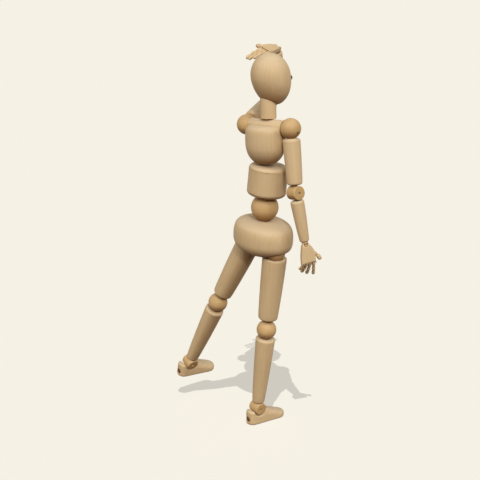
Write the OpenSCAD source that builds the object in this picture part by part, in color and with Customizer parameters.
// Jointed wooden artist mannequin, balanced on its right foot.
// Millimetres, +Z up. The standing foot points along -Y, and the figure's left is +X.
// The origin is the centre of the standing foot's sole, on the floor.
// Every ball is turned with a peg that spins in its parent, and a steel T-link
// swings in the ball's slot, so each ball joint is a turn, a swing and a twist.

/* [Head and neck] */
// Largest radius of the egg-shaped head
head_r = 19.7; // [17:0.2:23]
// Height of the head above its widest level
head_crown = 23; // [22:0.5:29]
// Depth of the head below its widest level, down to the chin
head_chin = 29; // [24:0.5:32]
// Backward lean of the egg on its neck
head_lean = 14; // [0:1:20]
// Radius of the neck
neck_r = 8; // [7:0.1:9]
// Height of the nod pin above the foot of the neck
neck_l = 19; // [16:0.5:24]
// Radius of the bead eyes
eye_r = 2; // [1.5:0.1:2.5]

/* [Trunk] */
// Half width of the chest
chest_a = 21; // [18:0.2:21.2]
// Half depth of the chest
chest_b = 19; // [15:0.5:21]
// Height of the chest
chest_h = 39.3; // [37:0.5:46]
// Half distance between the shoulder balls' centres
shoulder_half = 28.8; // [28.5:0.2:35]
// Radius of the cross bar that carries the shoulders
bar_r = 7.5; // [6.5:0.1:8.5]
// Radius of the abdomen
abdomen_r = 19.8; // [17:0.2:22]
// Height of the abdomen
abdomen_h = 31; // [26:0.5:36]
// Depth of the spine pin below the top of the abdomen
spine_depth = 4; // [3.5:0.1:6]
// Radius of the waist ball
waist_r = 14; // [12:0.2:15.5]
// Half width of the pelvis
pelvis_a = 34; // [32.5:0.5:38]
// Half depth of the pelvis
pelvis_b = 27; // [24:0.5:30]
// Height of the pelvis above its widest level
pelvis_up = 19; // [17:0.5:23]
// Depth of the pelvis below its widest level
pelvis_down = 17.5; // [15:0.5:20]

/* [Arms] */
// Radius of the shoulder balls
shoulder_r = 10.3; // [9.5:0.1:11]
// Shoulder centre to elbow pin
upper_arm_l = 63; // [54:0.5:75]
// Radius of the upper arm near the shoulder
upper_arm_r = 8.8; // [8:0.1:9]
// Elbow pin to wrist pin
forearm_l = 54.5; // [47:0.5:65]
// Radius of the forearm near the elbow
forearm_r = 6.9; // [6.3:0.1:7.6]
// Radius of the elbow barrels
elbow_r = 7; // [6.3:0.1:7.5]
// Length of the elbow barrels
elbow_w = 12.5; // [11:0.5:15]

/* [Hands] */
// Wrist pin to knuckle pin
palm_l = 18; // [15:0.5:22]
// Width of the palm at the knuckles
palm_w = 15.6; // [15.4:0.2:18]
// Thickness of the palm
palm_t = 5.4; // [4.8:0.1:6.5]
// Radius of a finger
finger_r = 1.4; // [1.2:0.05:1.5]
// Length of a middle finger, from its knuckle pin
finger_l = 16; // [13:0.5:19]

/* [Legs] */
// Half distance between the hip balls' centres
hip_half = 19; // [17.5:0.5:22]
// Radius of the hip balls
hip_r = 10.3; // [9.6:0.1:11]
// Hip centre to knee centre
thigh_l = 88; // [70:0.5:100]
// Radius of the thigh near the hip
thigh_r = 12.6; // [12.2:0.1:13.2]
// Radius of the knee balls
knee_r = 10.3; // [9.5:0.1:11]
// Knee centre to ankle pin
shin_l = 93; // [77:0.5:110]
// Radius of the shin near the knee
shin_r = 10.2; // [9.5:0.1:11]
// Radius of the ankle barrels
ankle_r = 6.7; // [6.2:0.1:7.2]
// Length of the ankle barrels
ankle_w = 13; // [11:0.5:15]
// Length of the foot
foot_l = 47.5; // [45:0.5:56]
// Width of the foot across the ball
foot_w = 18.5; // [16:0.5:20]
// Height of the ankle pin above the sole
ankle_h = 18; // [17.5:0.5:22]

/* [Fits] */
// Radius of the turned pegs
peg_r = 2.6; // [2.2:0.1:3]
// Radius of the steel rods
rod_r = 1.3; // [1.1:0.05:1.5]
// Radial clearance of a running fit
run_gap = 0.05; // [0.02:0.01:0.09]
// Gap between a ball and the cup that holds it
seat_gap = 0.3; // [0.25:0.05:0.5]

/* [Pose] */
// Waist: turn, bend and twist
waist_pose = [5.8, 3.7, -3.9]; // [-40:0.5:40]
// Chest: bend to the side and turn
chest_pose = [8.4, 2.4]; // [-12:0.1:12]
// Neck turn, nod and head turn
head_pose = [0, 0, -18]; // [-40:0.5:40]
// Right shoulder: swing, raise and twist
right_shoulder_pose = [-0.3, 5.3, -10.6]; // [-180:0.5:180]
// Right elbow bend
right_elbow_pose = -7.8; // [-95:0.5:0]
// Right wrist: turn and bend
right_wrist_pose = [70, 0]; // [-180:0.5:180]
// Left shoulder: swing, raise and twist
left_shoulder_pose = [-115.2, 6.8, -18.1]; // [-180:0.5:180]
// Left elbow bend
left_elbow_pose = -89.7; // [-95:0.5:0]
// Left wrist: turn and bend
left_wrist_pose = [16.5, -76.1]; // [-180:0.5:180]
// Right hip: turn, swing and twist
right_hip_pose = [-42.7, 2.7, 37.5]; // [-90:0.5:90]
// Right knee: turn, bend and twist
right_knee_pose = [0, 0, 0]; // [-90:0.5:90]
// Right ankle: bend and tilt
right_ankle_pose = [-0.9, 7.7]; // [-25:0.1:25]
// Left hip: turn, swing and twist
left_hip_pose = [-73.1, 23.7, 66.8]; // [-90:0.5:90]
// Left knee: turn, bend and twist
left_knee_pose = [7, -3.2, -5.9]; // [-90:0.5:90]
// Left ankle: bend and tilt
left_ankle_pose = [-4, 16]; // [-25:0.1:25]
// Knuckle bend of the right thumb and fingers, from thumb to little finger
right_finger_pose = [0, -30, -40, -46, -48]; // [-60:1:20]
// Knuckle bend of the left thumb and fingers
left_finger_pose = [0, -16, -9, -2, 4]; // [-60:1:20]

/* [Hidden] */
LEFT = 1;
RIGHT = -1;
TRUNK = ["head", "eyes", "head_link", "neck", "chest", "shoulder_bar", "spine_link", "abdomen", "waist_link",
  "waist_ball", "pelvis"];
LIMBS = ["shoulder_ball", "shoulder_link", "upper_arm", "elbow_barrel", "elbow_link", "forearm", "wrist_peg",
  "palm", "hand_pins", "thumb", "index_finger", "middle_finger", "ring_finger", "little_finger",
  "hip_ball", "hip_link", "thigh", "knee_ball", "knee_link", "shin", "ankle_barrel", "ankle_link", "foot",
  "heel_plug"];
$fn = 64;

// Colours of the woods and the steel
pale_wood = [0.78, 0.66, 0.49];
ball_wood = [0.77, 0.62, 0.42];
plug_wood = [0.42, 0.27, 0.16];
steel = [0.62, 0.62, 0.64];
black = [0.06, 0.05, 0.05];

// How far each slot lets its link swing
waist_span = [-22, 22];
spine_span = [-14, 14];
nod_span = [-18, 18];
raise_span = [-30, 65];
elbow_span = [-98, 4];
wrist_span = [-92, 60];
hip_span = [-30, 30];
knee_span = [-48, 10];
ankle_span = [-28, 28];
tilt_span = [-20, 20];

// Clearances and depths
slot_gap = 0.4;
bore_end = 0.5;
press_gap = 0.02;
peg_depth = 8;
rod_depth = 12;
dish = 0.8;
ball_sink = 0.8;
link_half = 5;
spine_gap = 1.7;
bar_sink = 2.5;
arm_gap = 0.6;
pin_sink = 1.2;
slot_out = 2;
lap = 1;

// Places in the trunk, measured from each joint's centre
hip_drop = 10;
waist_rise = pelvis_up + waist_r - ball_sink;
abdomen_low = waist_r - ball_sink;
spine_rise = abdomen_low + abdomen_h - spine_depth;
chest_low = spine_depth + spine_gap;
shoulder_rise = chest_low + chest_h - bar_sink;
neck_rise = shoulder_rise + bar_r + seat_gap;
head_centre = [0, -3, 22.5];
eye_turn = 26;
eye_up = -6;
eye_sink = 0.6;
throat_flare = 0.4;

// Forms of the trunk's blocks
chest_high = 9.5;
chest_mid = shoulder_rise - chest_high;
chest_back = 4.5;
chest_power = 3;
chest_top_power = 4;
pelvis_top_power = 3.4;
pelvis_low_power = 2.5;
abdomen_edge = 4;
hip_flare = 80;
hip_relief = 8;
relief_tip = 0.5;

// Edge radii at the low and high ends of the turned pieces, and their bellies
neck_edge = [0.8, 0.1];
bar_edge = 1;
barrel_edge = 0.8;
arm_edge = [2, 3];
arm_belly = 0.2;
forearm_edge = [1.2, 2.4];
forearm_belly = 0.3;
thigh_edge = [2.4, 0.8];
thigh_belly = 0.3;
shin_edge = [1.6, 2];
shin_belly = 0.4;
bead_end = 0.92;
bead_edge = 0.8;
bead_belly = 0.12;

// Places in the limbs
upper_gap = 1;
elbow_reach = elbow_r + upper_gap;
fore_gap = 0.7;
forearm_top = elbow_r + fore_gap;
wrist_reach = 4.8;
thigh_top = 6.5;
tilt_drop = 12;
foot_pin_h = ankle_h - tilt_drop;
rim_reach = norm([thigh_r, thigh_top]);
rim_rise = 1.9;
knuckle_wall = 0.7;
knuckle_pitch = 2 * finger_r + knuckle_wall;
knuckle_pin_r = 0.6;
ankle_back = 11.5;
arm_taper = 0.86;
forearm_taper = 0.7;
thigh_taper = 0.8;
shin_taper = 0.64;
wrist_r = 2.1;
wrist_bar_r = 1.2;
wrist_half = 3;
collar_low = 1.7;
collar_high = 1.35;
thumb_r = 1.7;
thumb_w = 3;
thumb_l = 11;
thumb_out = 5.2;
thumb_down = 7.5;
thumb_spread = 48;
thumb_cheek = 1.9;
thumb_room = [-12, 12];
thumb_share = [0.55, 0.5];
thumb_curl = 20;
palm_neck = 3.4;
knuckle_play = 0.4;
finger_share = [0, 0.95, 1, 0.93, 0.78];
finger_fan = [0, 3, -3, -8, -11.5];
finger_curl = 8;
segment_share = [0.42, 0.34, 0.3];
segment_lap = 0.03;
heel_r = 7;
heel_h = 15.5;
toe_h = 6.5;
foot_edge = [1.6, 2.1];
instep_back = 5;
instep_share = 0.95;
saddle_room = 1.5;
plug_r = 2.7;
plug_h = 5.8;
plug_depth = 5;
plug_sink = 0.7;

// Rigid moves as 4 x 4 matrices
function move(v) = [[1, 0, 0, v.x], [0, 1, 0, v.y], [0, 0, 1, v.z], [0, 0, 0, 1]];
function about_x(a) = [[1, 0, 0, 0], [0, cos(a), -sin(a), 0], [0, sin(a), cos(a), 0], [0, 0, 0, 1]];
function about_y(a) = [[cos(a), 0, sin(a), 0], [0, 1, 0, 0], [-sin(a), 0, cos(a), 0], [0, 0, 0, 1]];
function about_z(a) = [[cos(a), -sin(a), 0, 0], [sin(a), cos(a), 0, 0], [0, 0, 1, 0], [0, 0, 0, 1]];
function undo(m) = [for (i = [0:3]) [for (j = [0:3])
  i == 3 ? (j == 3 ? 1 : 0) :
  j < 3 ? m[j][i] : -(m[0][i] * m[0][3] + m[1][i] * m[1][3] + m[2][i] * m[2][3])]];

// The pose of a side's joints
function of(side, right, left) = side == LEFT ? left : right;
function shoulder_pose(side) = of(side, right_shoulder_pose, left_shoulder_pose);
function elbow_pose(side) = of(side, right_elbow_pose, left_elbow_pose);
function wrist_pose(side) = of(side, right_wrist_pose, left_wrist_pose);
function finger_pose(side) = of(side, right_finger_pose, left_finger_pose);
function hip_pose(side) = of(side, right_hip_pose, left_hip_pose);
function knee_pose(side) = of(side, right_knee_pose, left_knee_pose);
function ankle_pose(side) = of(side, right_ankle_pose, left_ankle_pose);

// Frames of the legs in the pelvis, from hip to sole
function hip_ball_in(side) = move([side * hip_half, 0, -hip_drop]) * about_z(hip_pose(side)[0]);
function hip_link_in(side) = hip_ball_in(side) * about_x(hip_pose(side)[1]);
function thigh_in(side) = hip_link_in(side) * about_z(hip_pose(side)[2]);
function knee_ball_in(side) = thigh_in(side) * move([0, 0, -thigh_l]) * about_z(knee_pose(side)[0]);
function knee_link_in(side) = knee_ball_in(side) * about_x(knee_pose(side)[1]);
function shin_in(side) = knee_link_in(side) * about_z(knee_pose(side)[2]);
function ankle_in(side) = shin_in(side) * move([0, 0, -shin_l]);
function ankle_link_in(side) = ankle_in(side) * about_x(ankle_pose(side)[0]);
function foot_in(side) = ankle_link_in(side) * move([0, 0, -tilt_drop]) * about_y(ankle_pose(side)[1])
  * move([0, -ankle_back, -foot_pin_h]);

// Frames of the trunk in the pelvis, from waist to head
waist_ball_in = move([0, 0, waist_rise]) * about_z(waist_pose[0]);
waist_link_in = waist_ball_in * about_x(waist_pose[1]);
abdomen_in = waist_link_in * about_z(waist_pose[2]);
spine_link_in = abdomen_in * move([0, 0, spine_rise]) * about_y(chest_pose[0]);
chest_in = spine_link_in * about_z(chest_pose[1]);
neck_in = chest_in * move([0, 0, neck_rise]) * about_z(head_pose[0]);
head_link_in = neck_in * move([0, 0, neck_l]) * about_x(head_pose[1]);
head_in = head_link_in * about_z(head_pose[2]);

// Frames of the arms in the pelvis, from shoulder to fingers
function shoulder_ball_in(side) = chest_in * move([side * shoulder_half, 0, shoulder_rise])
  * about_x(shoulder_pose(side)[0]);
function shoulder_link_in(side) = shoulder_ball_in(side) * about_y(-side * shoulder_pose(side)[1]);
function upper_arm_in(side) = shoulder_link_in(side) * about_z(shoulder_pose(side)[2]);
function elbow_in(side) = upper_arm_in(side) * move([0, 0, -upper_arm_l]);
function forearm_in(side) = elbow_in(side) * about_x(elbow_pose(side));
function wrist_in(side) = forearm_in(side) * move([0, 0, -forearm_l]) * about_z(wrist_pose(side)[0]);
function hand_in(side) = wrist_in(side) * about_x(wrist_pose(side)[1]);
function thumb_in(side) = hand_in(side) * move(thumb_root(side))
  * about_y(-side * (thumb_spread + finger_pose(side)[0]));
function finger_in(side, i) = hand_in(side) * move([finger_x(side, i), 0, -palm_l])
  * about_x(finger_pose(side)[i]);
function thumb_root(side) = [side * thumb_out, 0, -thumb_down];
function finger_x(side, i) = side * knuckle_pitch * (2.5 - i);

// The standing foot is flat on the floor at the origin, so its chain run backwards places the pelvis
pelvis_at = undo(foot_in(RIGHT));

// Half outline of a turned limb between two levels, with rounded ends and a slight belly
function limb_outline(low, high, r_low, r_high, e_low, e_high, belly) = concat(
  [[0, low]],
  [for (i = [0:5]) [r_low - e_low + e_low * sin(18 * i), low + e_low - e_low * cos(18 * i)]],
  [for (t = [0.1:0.1:0.9])
    [r_low + (r_high - r_low) * t + belly * 4 * t * (1 - t), low + (high - low) * t]],
  [for (i = [0:5]) [r_high - e_high + e_high * cos(18 * i), high - e_high + e_high * sin(18 * i)]],
  [[0, high]]);

// Half outline of a pillow-shaped block, with its own height above and below its widest level
function pillow_outline(a, up, down, p_up, p_down) = [for (i = [-15:15])
  [a * pow(cos(6 * i), 2 / (i < 0 ? p_down : p_up)),
    i < 0 ? -down * pow(-sin(6 * i), 2 / p_down) : up * pow(sin(6 * i), 2 / p_up)]];

module place(frame) {
  multmatrix(pelvis_at * frame) children();
}

module limb(low, high, r_low, r_high, edge, belly) {
  rotate_extrude() polygon(limb_outline(low, high, r_low, r_high, edge[0], edge[1], belly));
}

// Oval body: a half outline turned in two halves, then drawn in or out front to back
module oval(a, b) {
  scale([1, b / a, 1])
    for (half = [0, 180])
      rotate([0, 0, half]) rotate_extrude(angle = 180) children();
}

// Steel link: a cross bar, and a rod down to its reach
module t_link(half, reach) {
  rotate([0, 90, 0]) cylinder(r = rod_r, h = 2 * half, center = true);
  translate([0, 0, -reach]) cylinder(r = rod_r, h = reach);
}

// Bore for the cross bar, and the slot that its rod swings in
module link_seat(span, reach, half) {
  w = rod_r + slot_gap;
  rotate([0, 90, 0]) {
    cylinder(r = rod_r + run_gap, h = 2 * (half + bore_end), center = true);
    for (a = span)
      rotate([0, 0, a]) translate([0, -w, -w]) cube([reach, 2 * w, 2 * w]);
    rotate([0, 0, span[0]]) rotate_extrude(angle = span[1] - span[0])
      translate([0, -w]) square([reach, 2 * w]);
  }
}

// Bore down the axis for a link's rod
module rod_bore(reach, gap) {
  translate([0, 0, -reach - bore_end]) cylinder(r = rod_r + gap, h = reach + bore_end);
}

// Bore up the axis for a peg or a tenon
module peg_bore(reach, gap) {
  cylinder(r = peg_r + gap, h = reach + bore_end);
}

// Ball with its peg upward and its slot downward
module peg_ball(r, span) {
  difference() {
    union() {
      sphere(r);
      cylinder(r = peg_r, h = r + peg_depth);
    }
    link_seat(span, r + slot_out, link_half);
  }
}

// Barrel across the limb, with a tenon upward and a pin hole from end to end
module barrel(r, w, span, tenon) {
  difference() {
    union() {
      rotate([0, 90, 0]) limb(-w / 2, w / 2, r, r, [barrel_edge, barrel_edge], 0);
      cylinder(r = peg_r, h = tenon);
    }
    link_seat(span, r + slot_out, w / 2);
  }
}

// Head: a turned egg with a socket for the neck's dome
module head_egg() {
  translate(head_centre) rotate([-head_lean, 0, 0])
    rotate_extrude() polygon(pillow_outline(head_r, head_crown, head_chin, 2, 2));
}

module eye_places() {
  for (side = [LEFT, RIGHT])
    translate(head_centre) rotate([-head_lean, 0, 0]) rotate([0, 0, side * eye_turn])
      translate([0, -head_r + eye_r * eye_sink, eye_up]) children();
}

module head() {
  color(pale_wood) place(head_in) difference() {
    head_egg();
    sphere(neck_r + seat_gap);
    translate([0, 0, -neck_l])
      cylinder(r1 = neck_r + neck_l * throat_flare, r2 = neck_r + seat_gap, h = neck_l);
    rotate([180, 0, 0]) rod_bore(neck_r + rod_depth, run_gap);
    eye_places() sphere(eye_r);
  }
}

module eyes() {
  color(black) place(head_in) eye_places() sphere(eye_r);
}

module head_link() {
  color(steel) place(head_link_in) rotate([180, 0, 0]) t_link(link_half, neck_r + rod_depth);
}

// Neck: a column with a domed top, its peg in the shoulder bar
module neck() {
  color(pale_wood) place(neck_in) difference() {
    union() {
      limb(0, neck_l, neck_r, neck_r, neck_edge, 0);
      translate([0, 0, neck_l]) sphere(neck_r);
      translate([0, 0, -peg_depth]) cylinder(r = peg_r, h = peg_depth + lap);
    }
    translate([0, 0, neck_l]) rotate([180, 0, 0]) link_seat(nod_span, neck_r + slot_out, link_half);
  }
}

// Chest: a barrel-like block with a trough for the shoulder bar
module chest() {
  up = shoulder_rise + bar_sink - chest_mid;
  color(pale_wood) place(chest_in) difference() {
    translate([0, chest_back, chest_mid]) oval(chest_a, chest_b)
      polygon(pillow_outline(chest_a, up, chest_mid - chest_low, chest_top_power, chest_power));
    translate([0, 0, shoulder_rise]) rotate([0, 90, 0]) cylinder(r = bar_r, h = 4 * chest_a, center = true);
    for (side = [LEFT, RIGHT])
      translate([side * shoulder_half, 0, shoulder_rise]) sphere(shoulder_r + arm_gap);
    rotate([180, 0, 0]) rod_bore(chest_low + rod_depth, run_gap);
  }
}

module shoulder_bar() {
  color(pale_wood) place(chest_in) translate([0, 0, shoulder_rise]) difference() {
    rotate([0, 90, 0]) limb(-shoulder_half, shoulder_half, bar_r, bar_r, [bar_edge, bar_edge], 0);
    for (side = [LEFT, RIGHT])
      translate([side * shoulder_half, 0, 0]) {
        sphere(shoulder_r + seat_gap);
        rotate([0, -side * 90, 0]) peg_bore(shoulder_r + peg_depth, run_gap);
      }
    translate([0, 0, bar_r + seat_gap]) rotate([180, 0, 0]) peg_bore(peg_depth, run_gap);
  }
}

module spine_link() {
  color(steel) place(spine_link_in) rotate([0, 0, 90]) rotate([180, 0, 0])
    t_link(link_half, chest_low + rod_depth);
}

// Abdomen: a turned block cupped over the waist ball
module abdomen() {
  top = abdomen_low + abdomen_h;
  color(pale_wood) place(abdomen_in) difference() {
    limb(abdomen_low, top, abdomen_r, abdomen_r, [abdomen_edge, abdomen_edge], 0);
    sphere(waist_r + seat_gap);
    rotate([180, 0, 0]) rod_bore(waist_r + rod_depth, run_gap);
    translate([0, 0, spine_rise]) rotate([0, 0, 90]) rotate([180, 0, 0])
      link_seat(spine_span, spine_depth + slot_out, link_half);
  }
}

module waist_link() {
  color(steel) place(waist_link_in) rotate([180, 0, 0]) t_link(link_half, waist_r + rod_depth);
}

module waist_ball() {
  color(ball_wood) place(waist_ball_in) rotate([180, 0, 0]) peg_ball(waist_r, waist_span);
}

// Pelvis: a wide pillow with the waist's cup above and both hips' cups below
module pelvis() {
  color(pale_wood) place(move([0, 0, 0])) difference() {
    oval(pelvis_a, pelvis_b)
      polygon(pillow_outline(pelvis_a, pelvis_up, pelvis_down, pelvis_top_power, pelvis_low_power));
    translate([0, 0, waist_rise]) {
      sphere(waist_r + seat_gap);
      rotate([180, 0, 0]) peg_bore(waist_r + peg_depth, run_gap);
    }
    for (side = [LEFT, RIGHT])
      translate([side * hip_half, 0, -hip_drop]) {
        sphere(hip_r + seat_gap);
        peg_bore(hip_r + peg_depth, run_gap);
        translate([0, 0, -hip_relief]) {
          cylinder(r1 = hip_relief * tan(hip_flare), r2 = relief_tip, h = hip_relief);
          cylinder(r = rim_reach + seat_gap, h = hip_relief + rim_rise);
        }
      }
  }
}

// Shoulder: the ball's peg lies along the bar, and its link hangs down
module shoulder_ball(side) {
  color(ball_wood) place(shoulder_ball_in(side)) rotate([0, 0, side == LEFT ? 180 : 0]) difference() {
    union() {
      sphere(shoulder_r);
      rotate([0, 90, 0]) cylinder(r = peg_r, h = shoulder_r + peg_depth);
    }
    rotate([0, 0, 90]) link_seat(raise_span, shoulder_r + slot_out, link_half);
  }
}

module shoulder_link(side) {
  color(steel) place(shoulder_link_in(side)) rotate([0, 0, 90]) t_link(link_half, shoulder_r + rod_depth);
}

module upper_arm(side) {
  color(pale_wood) place(upper_arm_in(side)) difference() {
    limb(elbow_reach - upper_arm_l, dish - shoulder_r, upper_arm_r * arm_taper, upper_arm_r,
      arm_edge, arm_belly);
    sphere(shoulder_r + seat_gap);
    rod_bore(shoulder_r + rod_depth, run_gap);
    translate([0, 0, -upper_arm_l]) peg_bore(elbow_reach + peg_depth, press_gap);
  }
}

module elbow_barrel(side) {
  color(ball_wood) place(elbow_in(side)) barrel(elbow_r, elbow_w, elbow_span, elbow_reach + peg_depth);
}

module elbow_link(side) {
  color(steel) place(forearm_in(side)) t_link(elbow_w / 2 - pin_sink, forearm_top + rod_depth);
}

module forearm(side) {
  color(pale_wood) place(forearm_in(side)) difference() {
    limb(wrist_reach - forearm_l, -forearm_top, forearm_r * forearm_taper, forearm_r,
      forearm_edge, forearm_belly);
    rod_bore(forearm_top + rod_depth, press_gap);
    translate([0, 0, -forearm_l]) cylinder(r = wrist_r + run_gap, h = wrist_reach + peg_depth + bore_end);
  }
}

// Wrist: a peg that turns in the forearm, with a collar and a cross bar that the palm bends on
module wrist_peg(side) {
  collar = palm_t / 2 + seat_gap;
  color(ball_wood) place(wrist_in(side)) {
    rotate([0, 90, 0]) cylinder(r = wrist_bar_r, h = 2 * wrist_half, center = true);
    cylinder(r = wrist_bar_r, h = collar + lap);
    translate([0, 0, collar])
      cylinder(r1 = wrist_r * collar_low, r2 = wrist_r * collar_high, h = wrist_reach - collar - seat_gap);
    translate([0, 0, collar + lap / 2])
      cylinder(r = wrist_r, h = wrist_reach + peg_depth - collar - lap / 2);
  }
}

// Half width of the palm at a share of its length, and the swell that carries the thumb
function palm_half(t) = palm_neck + (palm_w / 2 - palm_neck) * sin(90 * t);
function palm_level(t) = palm_t / 2 - (palm_l + palm_t) * t;
function thumb_swell(t) = thumb_cheek * max(0, 1 - pow((palm_level(t) + thumb_down) / thumb_down, 2));

// Palm: a paddle that widens to a notched knuckle edge
module palm_plan(side) {
  polygon(concat(
    [for (t = [0:0.05:1]) [side * (palm_half(t) + thumb_swell(t)), palm_level(t)]],
    [for (t = [1:-0.05:0]) [-side * palm_half(t), palm_level(t)]]));
}

module palm_side() {
  circle(r = palm_t / 2);
  translate([-palm_t / 2, -palm_l]) square([palm_t, palm_l]);
  translate([0, -palm_l]) circle(r = palm_t / 2);
}

// Outline swept by a strip that swings about the origin between two angles from upright
function swing_outline(span, half, reach) =
  let (mid = (span[0] + span[1]) / 2, turn = (span[1] - span[0]) / 2)
  let (heel = -half / sin(turn) * [sin(mid), cos(mid)])
  concat([heel], [for (i = [-2:2]) heel + reach * [sin(mid + turn * i / 2), cos(mid + turn * i / 2)]]);

// Room for the wrist peg, the row of knuckles and the thumb
module wrist_slot() {
  w = wrist_bar_r + slot_gap;
  rotate([0, 90, 0]) cylinder(r = wrist_bar_r + run_gap, h = 2 * (wrist_half + bore_end), center = true);
  rotate([90, 0, 90]) linear_extrude(height = 2 * w, center = true)
    polygon(swing_outline(wrist_span, w, 2 * palm_t));
}

module knuckle_notch() {
  r = finger_r + seat_gap;
  translate([0, 0, -palm_l]) {
    rotate([90, 0, 90]) linear_extrude(height = 4 * knuckle_pitch + knuckle_play, center = true) {
      circle(r = r);
      translate([-palm_t, -palm_t]) square([2 * palm_t, palm_t]);
      translate([-palm_t, -palm_t]) square([palm_t, palm_t + finger_r]);
    }
    rotate([0, 90, 0]) cylinder(r = knuckle_pin_r, h = palm_w - pin_sink, center = true);
  }
}

module thumb_notch(side) {
  r = thumb_r + seat_gap;
  w = thumb_r + seat_gap / 2;
  translate(thumb_root(side)) {
    rotate([90, 0, 0]) linear_extrude(height = thumb_w + 2 * seat_gap, center = true) {
      circle(r = r);
      for (a = thumb_room)
        rotate(side * (thumb_spread + a)) translate([-w, -4 * r]) square([2 * w, 4 * r]);
    }
    rotate([90, 0, 0]) cylinder(r = knuckle_pin_r, h = palm_t - pin_sink, center = true);
  }
}

module palm(side) {
  color(pale_wood) place(hand_in(side)) difference() {
    intersection() {
      rotate([90, 0, 0]) linear_extrude(height = 2 * palm_t, center = true) palm_plan(side);
      rotate([90, 0, 90]) linear_extrude(height = 2 * palm_w, center = true) palm_side();
    }
    wrist_slot();
    knuckle_notch();
    thumb_notch(side);
  }
}

module hand_pins(side) {
  color(steel) place(hand_in(side)) {
    translate([0, 0, -palm_l]) rotate([0, 90, 0])
      cylinder(r = knuckle_pin_r, h = palm_w - pin_sink, center = true);
    translate(thumb_root(side)) rotate([90, 0, 0])
      cylinder(r = knuckle_pin_r, h = palm_t - pin_sink, center = true);
  }
}

// One segment of a finger, down from its joint
module segment(r, l) {
  limb(-l, 0, r * bead_end, r * bead_end, [r * bead_edge, r * bead_edge], r * bead_belly);
}

module finger(side, i) {
  long = finger_l * finger_share[i];
  color(pale_wood) place(finger_in(side, i)) difference() {
    rotate([0, -side * finger_fan[i], 0]) {
      rotate([0, side * finger_fan[i], 0]) rotate([0, 90, 0])
        cylinder(r = finger_r, h = 2 * finger_r, center = true);
      segment(finger_r, long * segment_share[0]);
      translate([0, 0, long * (segment_lap - segment_share[0])]) rotate([-finger_curl, 0, 0]) {
        segment(finger_r, long * segment_share[1]);
        translate([0, 0, long * (segment_lap - segment_share[1])]) rotate([-finger_curl, 0, 0])
          segment(finger_r, long * segment_share[2]);
      }
    }
    rotate([0, 90, 0]) cylinder(r = knuckle_pin_r + run_gap, h = 4 * finger_r, center = true);
  }
}

module thumb(side) {
  color(pale_wood) place(thumb_in(side)) difference() {
    union() {
      rotate([90, 0, 0]) cylinder(r = thumb_r, h = thumb_w, center = true);
      segment(thumb_r, thumb_l * thumb_share[0]);
      translate([0, 0, -thumb_l * thumb_share[1]]) rotate([0, side * thumb_curl, 0])
        segment(thumb_r, thumb_l * thumb_share[1]);
    }
    rotate([90, 0, 0]) cylinder(r = knuckle_pin_r + run_gap, h = 2 * palm_t, center = true);
  }
}

module hip_ball(side) {
  color(ball_wood) place(hip_ball_in(side)) peg_ball(hip_r, hip_span);
}

module hip_link(side) {
  color(steel) place(hip_link_in(side)) t_link(link_half, hip_r + rod_depth);
}

module thigh(side) {
  color(pale_wood) place(thigh_in(side)) difference() {
    limb(knee_r - dish - thigh_l, -thigh_top, thigh_r * thigh_taper, thigh_r, thigh_edge, thigh_belly);
    sphere(hip_r + seat_gap);
    rod_bore(hip_r + rod_depth, run_gap);
    translate([0, 0, -thigh_l]) {
      sphere(knee_r + seat_gap);
      peg_bore(knee_r + peg_depth, run_gap);
    }
  }
}

module knee_ball(side) {
  color(ball_wood) place(knee_ball_in(side)) peg_ball(knee_r, knee_span);
}

module knee_link(side) {
  color(steel) place(knee_link_in(side)) t_link(link_half, knee_r + rod_depth);
}

module shin(side) {
  color(pale_wood) place(shin_in(side)) difference() {
    limb(ankle_r + seat_gap - shin_l, dish - knee_r, shin_r * shin_taper, shin_r, shin_edge, shin_belly);
    sphere(knee_r + seat_gap);
    rod_bore(knee_r + rod_depth, run_gap);
    translate([0, 0, -shin_l]) peg_bore(ankle_r + peg_depth, press_gap);
  }
}

module ankle_barrel(side) {
  color(ball_wood) place(ankle_in(side)) barrel(ankle_r, ankle_w, ankle_span, ankle_r + peg_depth);
}

module ankle_link(side) {
  color(steel) place(ankle_link_in(side)) {
    t_link(ankle_w / 2 - pin_sink, tilt_drop);
    translate([0, 0, -tilt_drop]) rotate([90, 0, 0]) cylinder(r = rod_r, h = 2 * link_half, center = true);
  }
}

// Foot: a flat-soled shoe form, with a saddle for the ankle barrel
module foot_disc(y, r, h) {
  translate([0, y, 0]) limb(0, h, r, r, foot_edge, 0);
}

module foot(side) {
  color(pale_wood) place(foot_in(side)) difference() {
    hull($fn = 32) {
      foot_disc(foot_l / 2 - heel_r, heel_r, heel_h);
      foot_disc(ankle_back - instep_back, heel_r * instep_share, heel_h);
      foot_disc(-foot_l / 2 + foot_w / 2, foot_w / 2, toe_h);
    }
    translate([0, ankle_back, foot_pin_h]) {
      for (a = tilt_span)
        rotate([0, a, 0]) translate([0, 0, tilt_drop]) rotate([0, 90, 0])
          cylinder(r = ankle_r + seat_gap, h = ankle_w + 2 * saddle_room, center = true);
      rotate([0, 0, 90]) rotate([180, 0, 0]) link_seat(tilt_span, tilt_drop, link_half);
    }
    translate([0, foot_l / 2 + lap, plug_h]) rotate([90, 0, 0]) cylinder(r = plug_r, h = plug_depth + lap);
  }
}

module heel_plug(side) {
  color(plug_wood) place(foot_in(side)) translate([0, foot_l / 2 - plug_sink, plug_h]) rotate([90, 0, 0])
    cylinder(r = plug_r, h = plug_depth - plug_sink);
}

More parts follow.
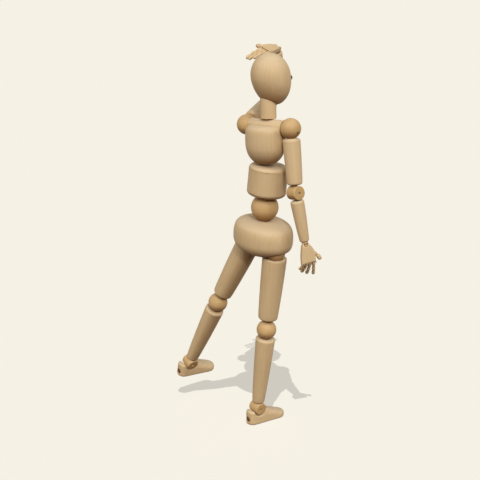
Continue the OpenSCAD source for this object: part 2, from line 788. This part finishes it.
head();
eyes();
head_link();
neck();
chest();
shoulder_bar();
spine_link();
abdomen();
waist_link();
waist_ball();
pelvis();
shoulder_ball(RIGHT);  // right_shoulder_ball
shoulder_link(RIGHT);  // right_shoulder_link
upper_arm(RIGHT);  // right_upper_arm
elbow_barrel(RIGHT);  // right_elbow_barrel
elbow_link(RIGHT);  // right_elbow_link
forearm(RIGHT);  // right_forearm
wrist_peg(RIGHT);  // right_wrist_peg
palm(RIGHT);  // right_palm
hand_pins(RIGHT);  // right_hand_pins
thumb(RIGHT);  // right_thumb
finger(RIGHT, 1);  // right_index_finger
finger(RIGHT, 2);  // right_middle_finger
finger(RIGHT, 3);  // right_ring_finger
finger(RIGHT, 4);  // right_little_finger
hip_ball(RIGHT);  // right_hip_ball
hip_link(RIGHT);  // right_hip_link
thigh(RIGHT);  // right_thigh
knee_ball(RIGHT);  // right_knee_ball
knee_link(RIGHT);  // right_knee_link
shin(RIGHT);  // right_shin
ankle_barrel(RIGHT);  // right_ankle_barrel
ankle_link(RIGHT);  // right_ankle_link
foot(RIGHT);  // right_foot
heel_plug(RIGHT);  // right_heel_plug
shoulder_ball(LEFT);  // left_shoulder_ball
shoulder_link(LEFT);  // left_shoulder_link
upper_arm(LEFT);  // left_upper_arm
elbow_barrel(LEFT);  // left_elbow_barrel
elbow_link(LEFT);  // left_elbow_link
forearm(LEFT);  // left_forearm
wrist_peg(LEFT);  // left_wrist_peg
palm(LEFT);  // left_palm
hand_pins(LEFT);  // left_hand_pins
thumb(LEFT);  // left_thumb
finger(LEFT, 1);  // left_index_finger
finger(LEFT, 2);  // left_middle_finger
finger(LEFT, 3);  // left_ring_finger
finger(LEFT, 4);  // left_little_finger
hip_ball(LEFT);  // left_hip_ball
hip_link(LEFT);  // left_hip_link
thigh(LEFT);  // left_thigh
knee_ball(LEFT);  // left_knee_ball
knee_link(LEFT);  // left_knee_link
shin(LEFT);  // left_shin
ankle_barrel(LEFT);  // left_ankle_barrel
ankle_link(LEFT);  // left_ankle_link
foot(LEFT);  // left_foot
heel_plug(LEFT);  // left_heel_plug
